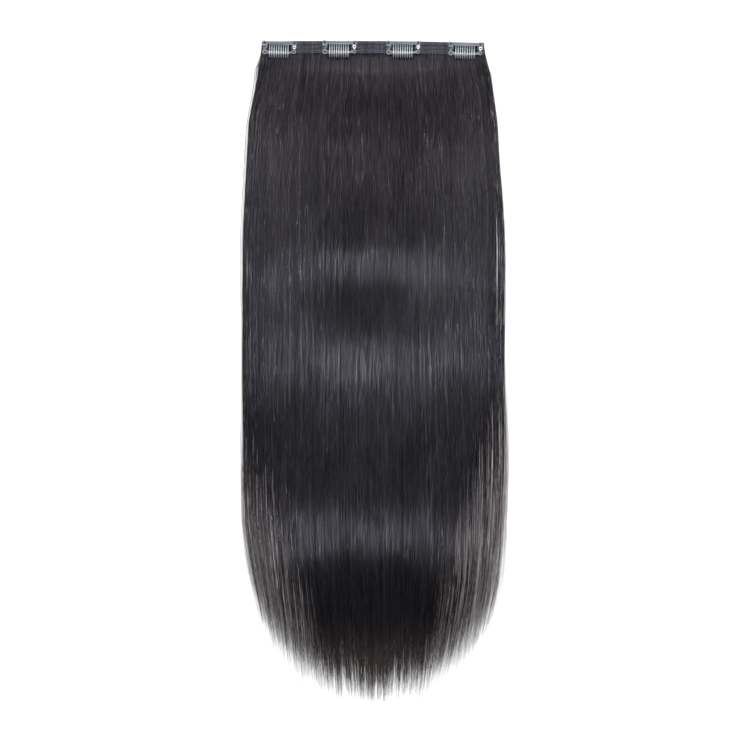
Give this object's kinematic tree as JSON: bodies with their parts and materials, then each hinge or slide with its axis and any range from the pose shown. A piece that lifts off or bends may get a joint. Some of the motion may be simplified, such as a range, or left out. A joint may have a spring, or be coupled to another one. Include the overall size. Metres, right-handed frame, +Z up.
{
  "type": "clip in hair extension",
  "caption": "Wide weft of long straight dark hair on a sewn band, with steel snap combs along the band to clip it into the wearer's own hair.",
  "frame": {"origin": "middle of the area that the weft covers, on the surface that it lies on", "axes": "+X across the weft, +Y from the tips of the hair to the combs, +Z up from the surface to the side where the combs are"},
  "size_m": [0.2494, 0.6157, 0.014],
  "materials": {
    "hair": "straight dark brown-black fibres with a soft silky sheen",
    "track": "machine stitched blue-grey tracks, matt",
    "comb_steel": "thin blue-grey enamel on spring steel, satin, bare at the edges",
    "eyelet": "bright rolled nickel"
  },
  "bodies": {
    "weft": {"hair_curtain": "hair", "top_track": "track", "middle_track": "track", "lower_track": "track", "clip_1_rail": "comb_steel", "clip_2_rail": "comb_steel", "clip_3_rail": "comb_steel", "clip_4_rail": "comb_steel"},
    "comb_1": {"clip_1_comb": "comb_steel", "clip_1_eyelet": "eyelet"},
    "comb_2": {"clip_2_comb": "comb_steel", "clip_2_eyelet": "eyelet"},
    "comb_3": {"clip_3_comb": "comb_steel", "clip_3_eyelet": "eyelet"},
    "comb_4": {"clip_4_comb": "comb_steel", "clip_4_eyelet": "eyelet"}
  },
  "joints": [
    {"name": "comb_1_snap", "type": "hinge", "parent": "weft", "child": "comb_1", "pos_m": [-0.08798, 0.30168, 0.00468], "axis": [-0.9997, 0.0244, 0], "range_deg": [0, 22]},
    {"name": "comb_2_snap", "type": "hinge", "parent": "weft", "child": "comb_2", "pos_m": [-0.03155, 0.30204, 0.00468], "axis": [-0.9999, 0.014, 0], "range_deg": [0, 22]},
    {"name": "comb_3_snap", "type": "hinge", "parent": "weft", "child": "comb_3", "pos_m": [0.02844, 0.30166, 0.00468], "axis": [-0.9999, 0.0105, 0], "range_deg": [0, 22]},
    {"name": "comb_4_snap", "type": "hinge", "parent": "weft", "child": "comb_4", "pos_m": [0.08696, 0.30052, 0.00468], "axis": [-0.9996, 0.0279, 0], "range_deg": [0, 22]}
  ]
}
